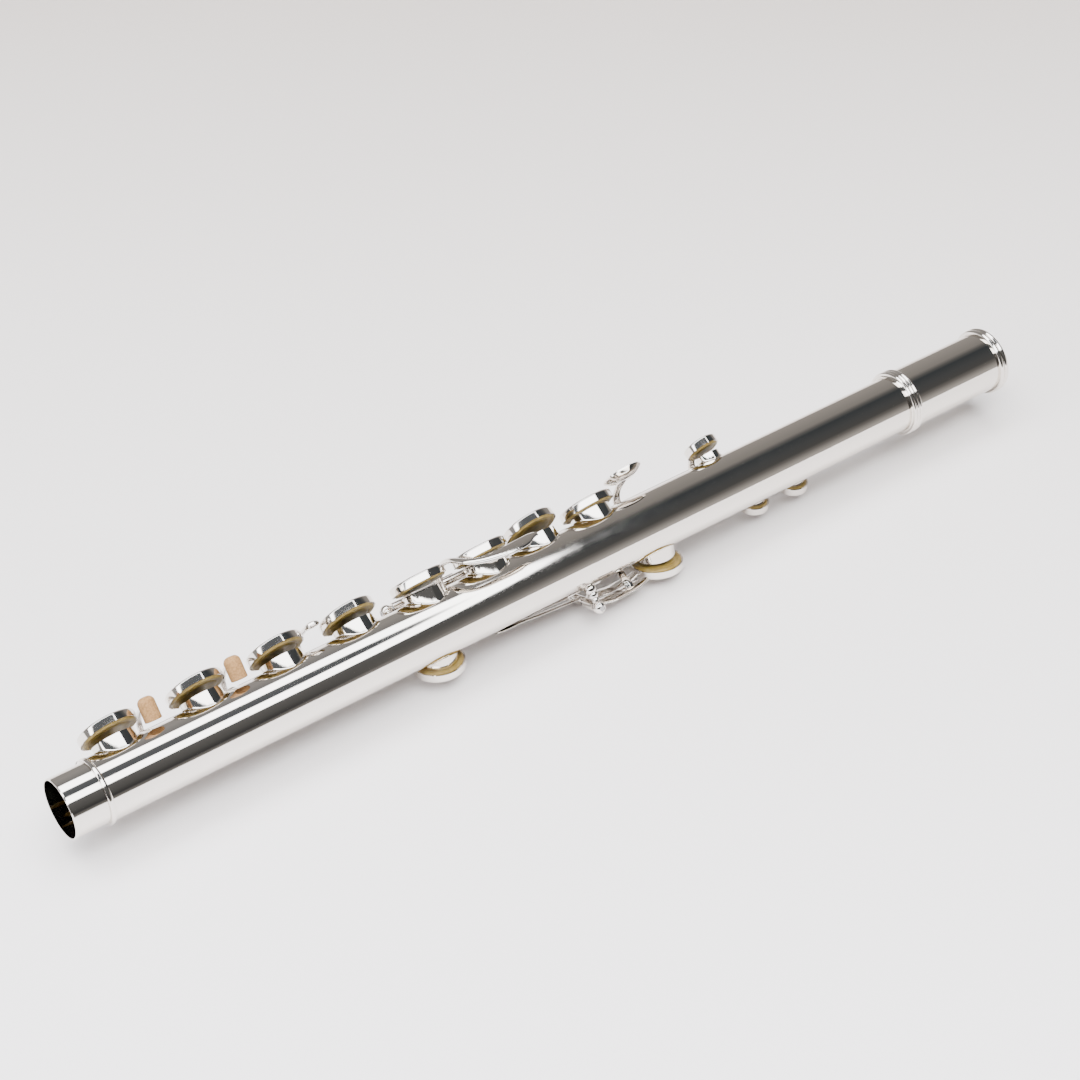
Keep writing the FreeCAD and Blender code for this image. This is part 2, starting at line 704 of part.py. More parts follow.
# G sharp lever: touch on the listener's side, arm between the G cups, second arm under the rods to the
# closed cup at the back.
arm_at = size("station_gsharp_arm")
back = size("back_angle")
gs = size("station_gsharp")
hy, hz = g_hinge.y, g_hinge.z
over_path = [
    # station, across, up, half width, half thickness, turn of the broad face
    (arm_at, hy, hz, 1.5, 1.0, -50),
    (arm_at, hy - 2.6, hz + 3.6, 1.3, 0.95, -35),
    (arm_at, 4.2, 16.4, 1.15, 0.9, -8),
    (arm_at, -2.0, 16.7, 1.15, 0.9, 5),
    (arm_at + 0.4, -6.6, 15.6, 1.2, 0.85, 20),
    (arm_at + 2.2, -10.3, 13.9, 1.35, 0.85, 32),
    (arm_at + 5.6, -12.4, 12.7, 1.5, 0.8, 40),
    (arm_at + 10.5, -13.2, 12.2, 1.9, 0.75, 42),
    (arm_at + 16.5, -13.2, 12.2, 2.3, 0.7, 42),
    (arm_at + 22.0, -12.7, 12.5, 2.1, 0.65, 42),
    (arm_at + 26.5, -12.0, 12.9, 0.9, 0.45, 42),
]
lever_over = arm(
    [(across(where, g_angle, y, z), wide, thin) for where, y, z, wide, thin, turn in over_path],
    [FreeCAD.Rotation(X_AXIS, g_angle + row[5]).multVec(FreeCAD.Vector(0, 0, 1)) for row in over_path])
lever_under = arm([
    (across(142.4, g_angle, hy, hz), 1.4, 0.9),
    (polar(142.4, -44.0, 13.9), 1.4, 0.8),
    (polar(142.3, -52.0, 12.3), 1.4, 0.65),
    (polar(142.0, -64.0, 11.5), 1.5, 0.55),
    (polar(141.3, -77.0, 11.25), 1.5, 0.55),
    (polar(139.9, -89.0, 11.4), 1.5, 0.55),
    (polar(137.8, -98.5, 12.3), 1.5, 0.6),
    (polar(135.9, -104.5, 13.7), 1.5, 0.65),
    (across(gs + 4.6, back, -6.45, 13.9), 1.5, 0.7),
])
gsharp_bore = hinge_bore(139.6, 147.3, G_LINE)
node(without(fused([
    cup("Sizes.gsharp_cup_radius", station(ref("station_gsharp"), "Sizes.back_angle")),
    hinge_tube(139.6, 147.3, G_LINE), lever_over, lever_under,
]), [gsharp_bore, pocket("Sizes.gsharp_cup_radius", station(ref("station_gsharp"), "Sizes.back_angle"))]),
     "gsharp_key")
pad("gsharp_pad", "Sizes.gsharp_cup_radius", station(ref("station_gsharp"), "Sizes.back_angle"), None)

# C key: first-finger button and the small C sharp cup on one hinge tube.
c_open = opened("Sizes.open_c", *MAIN_LINE)
touch_at = size("station_c_touch")
hinge = polar(0, size("line_angle"), size("line_radius"))
button = turned([
    ("0", "2.0"), ("3.2", "2.1"), ("5.2", "2.9"), ("6.6", "3.6"), ("7.0", "3.4"), ("7.0", "2.9"),
    ("5.4", "1.8"), ("3.4", "1.1"), ("0", "1.0"),
], station("Sizes.station_c_touch", "4"), local(z="13.6"))
button_arm = arm([
    (across(touch_at, 0, hinge.y, hinge.z), 1.6, 0.95),
    (across(touch_at, 0, hinge.y - 1.6, hinge.z + 2.9), 1.5, 0.9),
    (across(touch_at, 0, 6.4, 14.9), 1.5, 0.8),
    (across(touch_at, 0, 0.6, 15.1), 1.6, 0.55),
])
csharp_arm = arm([
    (across(size("station_csharp"), 0, hinge.y, hinge.z), 1.5, 0.95),
    (across(size("station_csharp"), 0, hinge.y - 1.4, hinge.z + 2.5), 1.4, 0.85),
    (across(size("station_csharp"), 0, 8.2, 14.0), 1.4, 0.75),
    (across(size("station_csharp"), 0, 5.57, 14.2), 1.5, 0.7),
])
node(without(fused([
    cup("Sizes.csharp_cup_radius", station("Sizes.station_csharp", "0")), csharp_arm, button, button_arm,
    hinge_tube(211.05, 253.25, MAIN_LINE),
]), [hinge_bore(211.05, 253.25, MAIN_LINE),
     pocket("Sizes.csharp_cup_radius", station("Sizes.station_csharp", "0"))]), "c_key", c_open)
pad("csharp_pad", "Sizes.csharp_cup_radius", station("Sizes.station_csharp", "0"), c_open)

# ------------------------------------------------------------------ thumb keys

thumb_turn = size("thumb_hinge_angle")
thumb_spread = FreeCAD.Rotation(X_AXIS, thumb_turn).multVec(FreeCAD.Vector(0, 1, 0))
thumb_open = (
    "placement(vector(0; 0; 0); rotation(vector(0; cos(T); sin(T)); A); vector(P; -H * sin(T); H * cos(T)))"
    .replace("sin(T)", "sin(Sizes.thumb_hinge_angle * 1 deg)")
    .replace("cos(T)", "cos(Sizes.thumb_hinge_angle * 1 deg)")
    .replace("P;", "Sizes.thumb_hinge_station - Sizes.body_length;")
    .replace("H *", "Sizes.thumb_hinge_height *")
    .replace("; A)", "; -Sizes.open_thumb)")
)
level = size("thumb_hinge_height")
spread = size("thumb_lever_offset")
half_tube = size("thumb_lever_half")


def lever_point(where, w, height):
    return across(where, thumb_turn, w, height)


def thumb_tube(side):
    centre = side * spread
    return across_back("Sizes.thumb_hinge_radius", "%.4f" % (centre - half_tube),
                       "%.4f" % (centre + half_tube))


thumb_bore = across_back("Sizes.steel_radius + Sizes.running_gap", "-Sizes.thumb_post_reach",
                         "Sizes.thumb_post_reach")


def thumb_lever(w, plate_w, last):
    """Lever running from the hinge towards the barrel, swelling into a touch plate."""
    start = size("thumb_hinge_station")
    return arm([
        (lever_point(start - 0.6, w, level + 0.2), 2.0, 0.8, thumb_spread),
        (lever_point(start + 2.4, w, level + 0.6), 2.1, 0.75, thumb_spread),
        (lever_point(start + 5.5, plate_w, level + 0.75), 3.0, 0.65, thumb_spread),
        (lever_point(start + 11.0, plate_w, level + 0.85), 3.35, 0.6, thumb_spread),
        (lever_point(start + 16.5, plate_w, level + 0.75), 3.15, 0.6, thumb_spread),
    ] + last)


cup_turn = size("thumb_angle")
cup_at = size("station_thumb")
cup_near = across(cup_at - size("thumb_cup_radius") + 0.43, cup_turn, 0.0, 14.2)
b_lever = thumb_lever(-spread, -spread - 1.1, [
    (lever_point(205.0, -spread - 0.2, level - 0.2), 2.2, 0.7, thumb_spread),
    (cup_near, 1.9, 0.7, thumb_spread),
])
b_spot = station("Sizes.station_thumb", "Sizes.thumb_angle")
node(without(fused([
    cup("Sizes.thumb_cup_radius", b_spot), b_lever, thumb_tube(-1),
]), [thumb_bore, pocket("Sizes.thumb_cup_radius", b_spot)]), "thumb_b_key", thumb_open)
pad("thumb_b_pad", "Sizes.thumb_cup_radius", b_spot, thumb_open)

bflat_lever = thumb_lever(spread, spread + 1.1, [
    (lever_point(205.2, spread + 1.5, level + 0.4), 2.0, 0.6, thumb_spread),
    (lever_point(207.2, spread + 1.8, level + 0.2), 1.0, 0.5, thumb_spread),
])
push_arm = arm([
    (lever_point(200.0, spread + 1.9, level + 0.3), 1.5, 0.6),
    (lever_point(200.1, spread + 0.4, level - 1.3), 1.5, 0.6),
    (lever_point(200.3, spread - 1.4, level - 2.6), 1.4, 0.6),
    (polar(200.8, -144.0, 12.1), 1.4, 0.6),
    (polar(201.2, -134.0, 11.8), 1.4, 0.6),
    (polar(201.6, -124.0, 12.3), 1.4, 0.6),
    (polar(201.9, -115.0, 13.8), 1.4, 0.6),
    (polar(202.3, -106.5, 16.2), 1.4, 0.6),
    (polar(202.8, -97.0, 18.0), 1.4, 0.65),
    (polar(203.2, -84.0, 18.3), 1.3, 0.65),
    (polar(203.4, -72.0, 18.1), 1.2, 0.65),
    (polar(203.5, -62.0, 17.9), 1.2, 0.6),
])
node(without(fused([bflat_lever, thumb_tube(1), push_arm]), [thumb_bore]), "thumb_bflat_lever")

# ------------------------------------------------------------------ trill keys and side lever


def rod(start, end, line):
    """Solid key rod with a drilled seat for a pivot screw in each end."""
    angle, radius = line
    body = cylinder("Sizes.rod_radius", str(end - start), station(str(start), angle),
                    local(z=radius, turn=ALONG))
    bore = "Sizes.pivot_radius + Sizes.running_gap"
    return body, [rod_hole(start - 0.1, start + 2.5, line, bore), rod_hole(end - 2.5, end + 0.1, line, bore)]


def trill_touch(where, line, spare=0.0):
    """Bowed arm that passes outside the main hinge tubes and ends in a peg for the cork touch."""
    line_angle, line_radius = line_values(line)
    start = polar(0, line_angle, line_radius)
    arm_at = where + 2.0
    sections = [
        (across(arm_at, 0, start.y, start.z), 1.2, 0.9),
        (across(arm_at, 0, 17.5, 6.0), 1.1, 0.8),
        (across(arm_at, 0, 17.0, 11.2), 1.0, 0.75),
        (across(arm_at, 0, 14.4, 15.2), 1.0, 0.75),
        (across(arm_at, 0, 9.5, 17.0), 1.0, 0.75),
        (across(arm_at - 0.3, 0, 4.0, 17.1), 1.1, 0.7),
        (across(where + 0.8, 0, -0.6, 16.2), 0.95, 0.7),
        (across(where, 0, -4.2, 15.2), 0.8, 0.7),
    ]
    return arm([(point, wide + spare, thick + spare) for point, wide, thick in sections])


def trill_key(name, touch_at, line, span, cup_at):
    """Long rod with its touch near the right hand and its small closed cup near the barrel."""
    line_angle, line_radius = line_values(line)
    start = polar(0, line_angle, line_radius)
    back_turn = size("trill_angle")
    body, seats = rod(span[0], span[1], line)
    cup_side = (across(size(cup_at), back_turn, -4.87, 14.0), 1.4, 0.65)
    hinge_end = (across(size(cup_at), 0, start.y, start.z), 1.3, 0.9)
    if line is D_LINE:
        under = [
            (polar(size(cup_at), line_angle - 4.0, 13.6), 1.3, 0.75),
            (polar(size(cup_at), line_angle - 12.0, 12.4), 1.3, 0.65),
            (polar(size(cup_at), line_angle - 20.0, 12.6), 1.3, 0.65),
        ]
    else:
        under = [(polar(size(cup_at), line_angle - 7.5, 15.2), 1.3, 0.75)]
    cup_link = arm([hinge_end] + under + [cup_side])
    lid = cup("Sizes.trill_cup_radius", station(ref(cup_at), "Sizes.trill_angle"))
    room = pocket("Sizes.trill_cup_radius", station(ref(cup_at), "Sizes.trill_angle"))
    joint = "Sizes.rod_radius + Sizes.solder_gap"
    node(without(body, seats), name + "_rod")
    node(without(trill_touch(touch_at, line), [hinge_tube(span[0], span[1], line, joint)]), name + "_touch_arm")
    node(without(fused([lid, cup_link]), [hinge_tube(span[0], span[1], line, joint), room]), name + "_cup")


def touch_cork(label, where, line):
    """Domed cork button pushed on the peg of a trill key."""
    spot = station(ref(where), "0")
    lean = "placement(vector(0; -5.4; 10.7); rotation(vector(1; 0; 0); 14))"
    stem = cylinder("Sizes.touch_cork_radius", "Sizes.touch_cork_length", spot, lean)
    button = rounded(stem, "touch_cork_dome", lambda edge: type(edge.Curve).__name__ == "Circle" and
                     stem.Placement.inverse().multVec(edge.Curve.Center).z > 1.0)
    return node(without(button, [trill_touch(size(where), line, 0.03)]), label)


touch_cork("d_touch_cork", "station_d_touch", D_LINE)
touch_cork("dsharp_touch_cork", "station_dsharp_touch", DSHARP_LINE)
trill_key("d_trill", size("station_d_touch"), D_LINE, (58.9, 266.2), "station_d_trill")
trill_key("dsharp_trill", size("station_dsharp_touch"), DSHARP_LINE, (29.7, 283.6), "station_dsharp_trill")
for name, where in (("d_trill", "station_d_trill"), ("dsharp_trill", "station_dsharp_trill")):
    pad(name + "_pad", "Sizes.trill_cup_radius", station(ref(where), "Sizes.trill_angle"), None)

side_at = size("station_side_touch")
side_angle, side_radius = line_values(SIDE_LINE)
side = polar(0, side_angle, side_radius)
side_bow = arm([
    (across(side_at, 0, side.y, side.z), 1.1, 0.9),
    (across(side_at, 0, 17.0, 9.0), 1.0, 0.75),
    (across(side_at, 0, 16.6, 12.6), 0.95, 0.7),
    (across(side_at, 0, 14.0, 15.6), 0.95, 0.7),
    (across(side_at, 0, 9.0, 17.0), 0.95, 0.7),
    (across(side_at, 0, 3.0, 17.2), 0.95, 0.65),
    (across(side_at, 0, -1.6, 16.7), 1.0, 0.6),
])
side_button = turned([
    ("0", "0"), ("2.2", "0.2"), ("2.6", "0.7"), ("2.4", "1.3"), ("1.6", "1.8"), ("0", "2.0"),
], station("Sizes.station_side_touch", "0"), local(y="-3.2", z="15.6"))
side_tip = arm([
    (across(199.9, 0, side.y, side.z), 1.2, 0.9),
    (across(199.9, 0, side.y + 1.2, side.z + 1.2), 1.2, 0.8),
    (across(200.9, 0, 15.9, 8.3), 1.1, 0.6),
])
side_rod, side_seats = rod(88.5, 201.5, SIDE_LINE)
node(without(fused([side_rod, side_bow, side_button, side_tip]), side_seats), "bflat_side_lever")

# ------------------------------------------------------------------ check and write

doc.recompute()
names = set()
for item in doc.Objects:
    if "Invalid" in item.State or "Error" in item.State:
        raise RuntimeError("%s did not rebuild: %s" % (item.Label, item.State))
for item in nodes:
    if item.Shape.isNull() or not item.Shape.isValid() or not item.Shape.Solids:
        raise RuntimeError("%s has no valid solid" % item.Label)
    if item.Label in names:
        raise RuntimeError("%s is named twice" % item.Label)
    names.add(item.Label)
os.makedirs("parts", exist_ok=True)
for item in nodes:
    item.Shape.exportStep("parts/%s.step" % item.Label)
    print("%-20s solids %d volume %.2f" % (item.Label, len(item.Shape.Solids), item.Shape.Volume))
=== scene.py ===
import json
import math

import bmesh
import bpy
import numpy as np
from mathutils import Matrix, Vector, noise

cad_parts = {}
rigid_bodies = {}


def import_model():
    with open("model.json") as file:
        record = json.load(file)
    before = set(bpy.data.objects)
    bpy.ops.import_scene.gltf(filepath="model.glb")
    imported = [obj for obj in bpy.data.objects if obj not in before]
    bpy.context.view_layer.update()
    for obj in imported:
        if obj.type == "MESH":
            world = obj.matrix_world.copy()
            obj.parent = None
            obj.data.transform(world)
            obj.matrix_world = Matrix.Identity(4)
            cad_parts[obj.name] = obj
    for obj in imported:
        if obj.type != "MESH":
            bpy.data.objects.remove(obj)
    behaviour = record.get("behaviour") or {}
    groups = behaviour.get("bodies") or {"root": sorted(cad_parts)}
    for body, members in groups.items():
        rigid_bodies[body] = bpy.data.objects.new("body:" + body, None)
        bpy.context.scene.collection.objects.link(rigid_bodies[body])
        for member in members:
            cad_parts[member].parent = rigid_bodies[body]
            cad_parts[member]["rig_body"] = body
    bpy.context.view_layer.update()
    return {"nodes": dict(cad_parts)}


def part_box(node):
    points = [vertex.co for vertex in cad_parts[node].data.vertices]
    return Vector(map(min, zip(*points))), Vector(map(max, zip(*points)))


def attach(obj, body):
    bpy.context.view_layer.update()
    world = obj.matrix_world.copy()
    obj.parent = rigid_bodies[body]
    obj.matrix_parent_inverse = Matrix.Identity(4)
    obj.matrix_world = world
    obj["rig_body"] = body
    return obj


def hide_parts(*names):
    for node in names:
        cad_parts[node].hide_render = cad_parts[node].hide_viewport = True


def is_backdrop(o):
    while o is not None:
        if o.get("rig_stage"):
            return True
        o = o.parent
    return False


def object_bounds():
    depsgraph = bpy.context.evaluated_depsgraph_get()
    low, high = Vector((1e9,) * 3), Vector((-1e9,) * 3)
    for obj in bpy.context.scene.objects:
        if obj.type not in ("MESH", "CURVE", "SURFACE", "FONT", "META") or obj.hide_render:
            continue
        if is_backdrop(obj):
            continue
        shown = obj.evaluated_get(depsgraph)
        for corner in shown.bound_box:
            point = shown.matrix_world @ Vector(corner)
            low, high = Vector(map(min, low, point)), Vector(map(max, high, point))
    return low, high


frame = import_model()
nodes = frame["nodes"]
scene = bpy.context.scene


# ------------------------------------------------------------------ clean shading of the CAD surfaces

def polish(mesh, sharp=math.radians(32.0), barrel=None):
    """Gives a mesh true smooth normals, keeping edges sharper than `sharp`. Its points don't move.

    Faces that lie on a barrel of that radius round the bore take the exact normals of the cylinder.
    """
    points = np.empty(len(mesh.vertices) * 3)
    mesh.vertices.foreach_get("co", points)
    corners = np.empty(len(mesh.loops), np.int32)
    mesh.loops.foreach_get("vertex_index", corners)
    spots = points.reshape(-1, 3)[corners].reshape(-1, 3, 3)
    before = np.roll(spots, 1, axis=1) - spots
    after = np.roll(spots, -1, axis=1) - spots
    across = np.cross(after, before)
    size = np.linalg.norm(across, axis=2)
    reach = np.linalg.norm(after, axis=2) * np.linalg.norm(before, axis=2)
    weight = np.arctan2(size, np.einsum("ijk,ijk->ij", after, before)) * (size > 1e-14) * (reach > 0)
    face = across[:, 0] / np.maximum(size[:, :1], 1e-14)
    face = np.repeat(face, 3, axis=0)
    weight = weight.reshape(-1, 1)
    place = np.unique(np.round(spots.reshape(-1, 3), 7), axis=0, return_inverse=True)[1].reshape(-1)
    order = np.argsort(place, kind="stable")
    total = face * weight
    limit = math.cos(sharp)
    for shift in range(1, int(np.bincount(place).max())):
        one, other = order[:-shift], order[shift:]
        near = (place[one] == place[other]) & (np.einsum("ij,ij->i", face[one], face[other]) > limit)
        one, other = one[near], other[near]
        total[one] += face[other] * weight[other]
        total[other] += face[one] * weight[one]
    total /= np.maximum(np.linalg.norm(total, axis=1, keepdims=True), 1e-14)
    if barrel:
        flat = spots.copy()
        flat[:, :, 0] = 0.0
        radius = np.linalg.norm(flat, axis=2)
        on = np.repeat(np.all(np.abs(radius - barrel) < 2e-5, axis=1), 3)
        outward = (flat / np.maximum(radius[:, :, None], 1e-9)).reshape(-1, 3)
        on &= np.einsum("ij,ij->i", outward, face) > 0.9
        total[on] = outward[on]
    mesh.polygons.foreach_set("use_smooth", np.ones(len(mesh.polygons), bool))
    mesh.normals_split_custom_set(total.tolist())


BARRELS = {"body_tube": 0.0099, "barrel_sleeve": 0.01055, "tenon_sleeve": 0.00965}
for name, node in nodes.items():
    polish(node.data, barrel=BARRELS.get(name))


# ------------------------------------------------------------------ materials

def new_material(name):
    material = bpy.data.materials.new(name)
    material.use_nodes = True
    tree = material.node_tree
    tree.nodes.clear()
    return material, tree


def add(tree, kind, **values):
    node = tree.nodes.new(kind)
    for key, value in values.items():
        if key.startswith("in_"):
            node.inputs[key[3:].replace("_", " ")].default_value = value
        else:
            setattr(node, key, value)
    return node


def link(tree, source, target):
    tree.links.new(source, target)


def ramp(tree, factor, stops):
    node = tree.nodes.new("ShaderNodeValToRGB")
    while len(node.color_ramp.elements) < len(stops):
        node.color_ramp.elements.new(0.5)
    for element, (position, colour) in zip(node.color_ramp.elements, stops):
        element.position = position
        element.color = (*colour, 1.0)
    link(tree, factor, node.inputs["Fac"])
    return node


def silver(name, base=(0.80, 0.755, 0.70), rough=(0.035, 0.10), crease_shade_and_tarnish=0.35, scratch=0.04):
    """Silver plate: cloudy polish, fine handling scratches, a warm random bloom of tarnished tone, and
    painted shade that darkens creases and recesses towards a tarnished brown.
    """
    material, tree = new_material(name)
    output = add(tree, "ShaderNodeOutputMaterial")
    shader = add(tree, "ShaderNodeBsdfPrincipled", in_Metallic=1.0)
    place = add(tree, "ShaderNodeTexCoord")
    cloud = add(tree, "ShaderNodeTexNoise", in_Scale=160.0, in_Detail=6.0, in_Roughness=0.62)
    link(tree, place.outputs["Object"], cloud.inputs["Vector"])
    spread = add(tree, "ShaderNodeMapRange", in_From_Min=0.3, in_From_Max=0.75,
                 in_To_Min=rough[0], in_To_Max=rough[1])
    link(tree, cloud.outputs["Fac"], spread.inputs["Value"])
    link(tree, spread.outputs["Result"], shader.inputs["Roughness"])
    bloom = add(tree, "ShaderNodeTexNoise", in_Scale=55.0, in_Detail=4.0, in_Roughness=0.55)
    link(tree, place.outputs["Object"], bloom.inputs["Vector"])
    warm = tuple(channel * shade for channel, shade in zip(base, (0.93, 0.88, 0.78)))
    tone = ramp(tree, bloom.outputs["Fac"], [(0.35, base), (0.72, base), (0.95, warm)])
    # Painted shade: occlusion darkens creases and recesses towards a warm brown. It stands for shade there
    # and also for tarnished silver.
    crease = add(tree, "ShaderNodeAmbientOcclusion", in_Distance=0.0035, samples=6)
    shade = ramp(tree, crease.outputs["AO"], [(0.0, (0.42, 0.38, 0.33)), (0.55, (1.0, 1.0, 1.0))])
    mix = add(tree, "ShaderNodeMix", data_type="RGBA", blend_type="MULTIPLY")
    mix.inputs["Factor"].default_value = crease_shade_and_tarnish
    link(tree, tone.outputs["Color"], mix.inputs["A"])
    link(tree, shade.outputs["Color"], mix.inputs["B"])
    link(tree, mix.outputs["Result"], shader.inputs["Base Color"])
    stretch = add(tree, "ShaderNodeMapping")
    stretch.inputs["Scale"].default_value = (60.0, 1500.0, 1500.0)
    stretch.inputs["Rotation"].default_value = (0.2, 0.35, 0.6)
    link(tree, place.outputs["Object"], stretch.inputs["Vector"])
    lines = add(tree, "ShaderNodeTexNoise", in_Scale=1.0, in_Detail=3.0)
    link(tree, stretch.outputs["Vector"], lines.inputs["Vector"])
    cut = ramp(tree, lines.outputs["Fac"], [(0.60, (0.0, 0.0, 0.0)), (0.68, (1.0, 1.0, 1.0))])
    bump = add(tree, "ShaderNodeBump", in_Strength=scratch, in_Distance=0.00002)
    link(tree, cut.outputs["Color"], bump.inputs["Height"])
    link(tree, bump.outputs["Normal"], shader.inputs["Normal"])
    link(tree, shader.outputs["BSDF"], output.inputs["Surface"])
    return material


def ground_steel(name):
    material, tree = new_material(name)
    output = add(tree, "ShaderNodeOutputMaterial")
    shader = add(tree, "ShaderNodeBsdfPrincipled", in_Metallic=1.0)
    place = add(tree, "ShaderNodeTexCoord")
    grain = add(tree, "ShaderNodeTexNoise", in_Scale=2600.0, in_Detail=3.0)
    link(tree, place.outputs["Object"], grain.inputs["Vector"])
    tone = ramp(tree, grain.outputs["Fac"], [(0.3, (0.36, 0.36, 0.37)), (0.7, (0.52, 0.51, 0.50))])
    link(tree, tone.outputs["Color"], shader.inputs["Base Color"])
    spread = add(tree, "ShaderNodeMapRange", in_To_Min=0.18, in_To_Max=0.34)
    link(tree, grain.outputs["Fac"], spread.inputs["Value"])
    link(tree, spread.outputs["Result"], shader.inputs["Roughness"])
    link(tree, shader.outputs["BSDF"], output.inputs["Surface"])
    return material


def pad_skin(name):
    """Felt pad in yellow bladder skin: fine wrinkles, mottled colour and a soft sheen."""
    material, tree = new_material(name)
    output = add(tree, "ShaderNodeOutputMaterial")
    shader = add(tree, "ShaderNodeBsdfPrincipled", in_Roughness=0.42)
    shader.inputs["Subsurface Weight"].default_value = 0.12
    shader.inputs["Subsurface Radius"].default_value = (0.0012, 0.0007, 0.0003)
    shader.inputs["Coat Weight"].default_value = 0.15
    shader.inputs["Coat Roughness"].default_value = 0.3
    place = add(tree, "ShaderNodeTexCoord")
    mottle = add(tree, "ShaderNodeTexNoise", in_Scale=420.0, in_Detail=5.0, in_Roughness=0.6)
    link(tree, place.outputs["Object"], mottle.inputs["Vector"])
    tone = ramp(tree, mottle.outputs["Fac"], [
        (0.30, (0.16, 0.105, 0.022)), (0.52, (0.25, 0.17, 0.040)), (0.75, (0.33, 0.235, 0.070))])
    link(tree, tone.outputs["Color"], shader.inputs["Base Color"])
    crease = add(tree, "ShaderNodeTexNoise", in_Scale=1400.0, in_Detail=4.0)
    link(tree, place.outputs["Object"], crease.inputs["Vector"])
    bump = add(tree, "ShaderNodeBump", in_Strength=0.35, in_Distance=0.00008)
    link(tree, crease.outputs["Fac"], bump.inputs["Height"])
    link(tree, bump.outputs["Normal"], shader.inputs["Normal"])
    link(tree, shader.outputs["BSDF"], output.inputs["Surface"])
    return material


def cork(name):
    """Natural cork: granules with dark pores."""
    material, tree = new_material(name)
    output = add(tree, "ShaderNodeOutputMaterial")
    shader = add(tree, "ShaderNodeBsdfPrincipled", in_Roughness=0.8)
    place = add(tree, "ShaderNodeTexCoord")
    grain = add(tree, "ShaderNodeTexVoronoi", in_Scale=1700.0)
    link(tree, place.outputs["Object"], grain.inputs["Vector"])
    tone = ramp(tree, grain.outputs["Distance"], [
        (0.05, (0.36, 0.205, 0.085)), (0.45, (0.32, 0.175, 0.068)), (0.85, (0.24, 0.125, 0.045))])
    link(tree, tone.outputs["Color"], shader.inputs["Base Color"])
    bump = add(tree, "ShaderNodeBump", in_Strength=0.3, in_Distance=0.00006)
    link(tree, grain.outputs["Distance"], bump.inputs["Height"])
    link(tree, bump.outputs["Normal"], shader.inputs["Normal"])
    link(tree, shader.outputs["BSDF"], output.inputs["Surface"])
    return material


SILVER_TUBE = silver("silver_tube", rough=(0.03, 0.075), crease_shade_and_tarnish=0.25, scratch=0.05)
SILVER_KEYS = silver("silver_keys", base=(0.80, 0.755, 0.705), rough=(0.05, 0.13), crease_shade_and_tarnish=0.6, scratch=0.03)
STEEL = ground_steel("ground_steel")
PAD = pad_skin("pad_skin")
CORK = cork("cork")

for name, node in nodes.items():
    if name.endswith("_pad"):
        chosen = PAD
    elif name.endswith("_cork"):
        chosen = CORK
    elif name.endswith("_steel") or name in ("pivot_screws", "needle_springs"):
        chosen = STEEL
    elif name in ("body_tube", "barrel_sleeve", "tenon_sleeve"):
        chosen = SILVER_TUBE
    else:
        chosen = SILVER_KEYS
    node.data.materials.clear()
    node.data.materials.append(chosen)

# ------------------------------------------------------------------ pads and corks

def disc_frame(node):
    """Centre, outward axis, radius and length of a round CAD solid, read from its mesh."""
    mesh = node.data
    widest = max(mesh.polygons, key=lambda polygon: polygon.area)
    low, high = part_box(node.name)
    centre = (Vector(low) + Vector(high)) / 2
    axis = Vector(widest.normal).normalized()
    if axis.dot(Vector((0.0, centre.y, centre.z))) < 0:
        axis.negate()
    offsets = [vertex.co - centre for vertex in mesh.vertices]
    heights = [offset.dot(axis) for offset in offsets]
    radius = max((offset - axis * height).length for offset, height in zip(offsets, heights))
    front, back = min(heights), max(heights)
    return centre + axis * front, axis, radius, back - front


def lathe(name, outline, origin, axis, material, ripple=None, around=96):
    """Closed skin turned from (radius, height) points, its first and last on the axis."""
    side = axis.orthogonal().normalized()
    other = axis.cross(side)
    mesh = bpy.data.meshes.new(name)
    work = bmesh.new()
    rings = []
    for radius, height in outline:
        if radius == 0:
            rings.append([work.verts.new(origin + axis * height)])
            continue
        ring = []
        for step in range(around):
            turn = 2 * math.pi * step / around
            out = side * math.cos(turn) + other * math.sin(turn)
            point = origin + out * radius + axis * height
            if ripple:
                point = point - ripple(point, out, radius, height)
            ring.append(work.verts.new(point))
        rings.append(ring)
    for first, second in zip(rings, rings[1:]):
        for step in range(around):
            following = (step + 1) % around
            corners = [first[step % len(first)], second[step % len(second)]]
            if len(second) > 1:
                corners.append(second[following])
            if len(first) > 1:
                corners.append(first[following])
            work.faces.new(corners)
    bmesh.ops.recalc_face_normals(work, faces=work.faces)
    work.to_mesh(mesh)
    work.free()
    mesh.polygons.foreach_set("use_smooth", [True] * len(mesh.polygons))
    mesh.materials.append(material)
    piece = bpy.data.objects.new(name, mesh)
    scene.collection.objects.link(piece)
    return piece


# Radius of the tone-hole rim that has printed its ring in each pad.
MAIN_SEAT = 0.00668
SEATS = {"gsharp_pad": 0.00618, "csharp_pad": 0.00398, "d_trill_pad": 0.00368, "dsharp_trill_pad": 0.00368}


def pad_outline(radius, thick, seat):
    """Skin-covered felt: flat back, full rounded edge and the ring printed by the tone hole."""
    m = 0.001
    points = [(0, thick), (radius * 0.5, thick), (radius - 0.20 * m, thick)]
    points += [(radius - 0.06 * m, thick - 0.08 * m), (radius, thick - 0.25 * m)]
    rounded = ((0.0, 1.00), (0.02, 0.72), (0.09, 0.48), (0.20, 0.27), (0.36, 0.12), (0.56, 0.03),
               (0.80, 0.0))
    points += [(radius - inset * m, height * m) for inset, height in rounded]
    printed = ((0.52, 0.01), (0.34, 0.06), (0.17, 0.13), (0.0, 0.16), (-0.17, 0.13), (-0.34, 0.06),
               (-0.60, 0.01))
    points += [(seat + offset * m, depth * m) for offset, depth in printed]
    return points + [(seat * 0.7, 0.0), (seat * 0.35, 0.02 * m), (0, 0.04 * m)]


